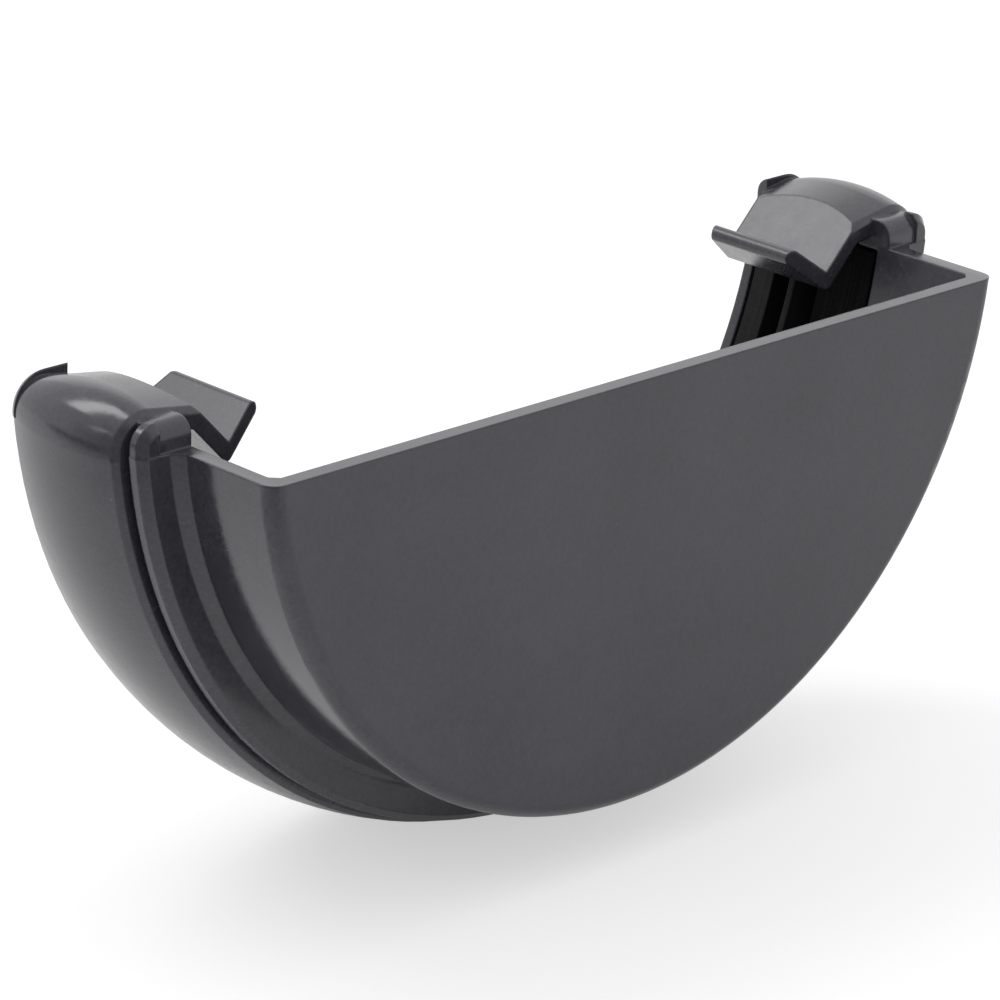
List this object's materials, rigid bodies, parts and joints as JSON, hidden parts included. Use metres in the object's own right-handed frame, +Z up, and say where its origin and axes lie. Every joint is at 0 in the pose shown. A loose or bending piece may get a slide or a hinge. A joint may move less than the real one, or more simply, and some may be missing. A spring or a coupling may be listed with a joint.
{
  "type": "gutter end cap",
  "caption": "Half-round gutter end cap: D-shaped plate on a short wall, a crowned strap that holds a rubber seal, and a springy clip over each rim for the gutter's edge.",
  "frame": {"origin": "on the gutter's axis, in the plane of the cap's open mouth", "axes": "+X along the gutter towards the end plate, +Y across the gutter, +Z up"},
  "size_m": [0.0375, 0.131, 0.0647],
  "materials": {
    "body_plastic": "satin",
    "seal_rubber": "matt"
  },
  "bodies": {
    "root": {"end_cap_body": "body_plastic", "socket_seal": "seal_rubber"}
  },
  "joints": []
}
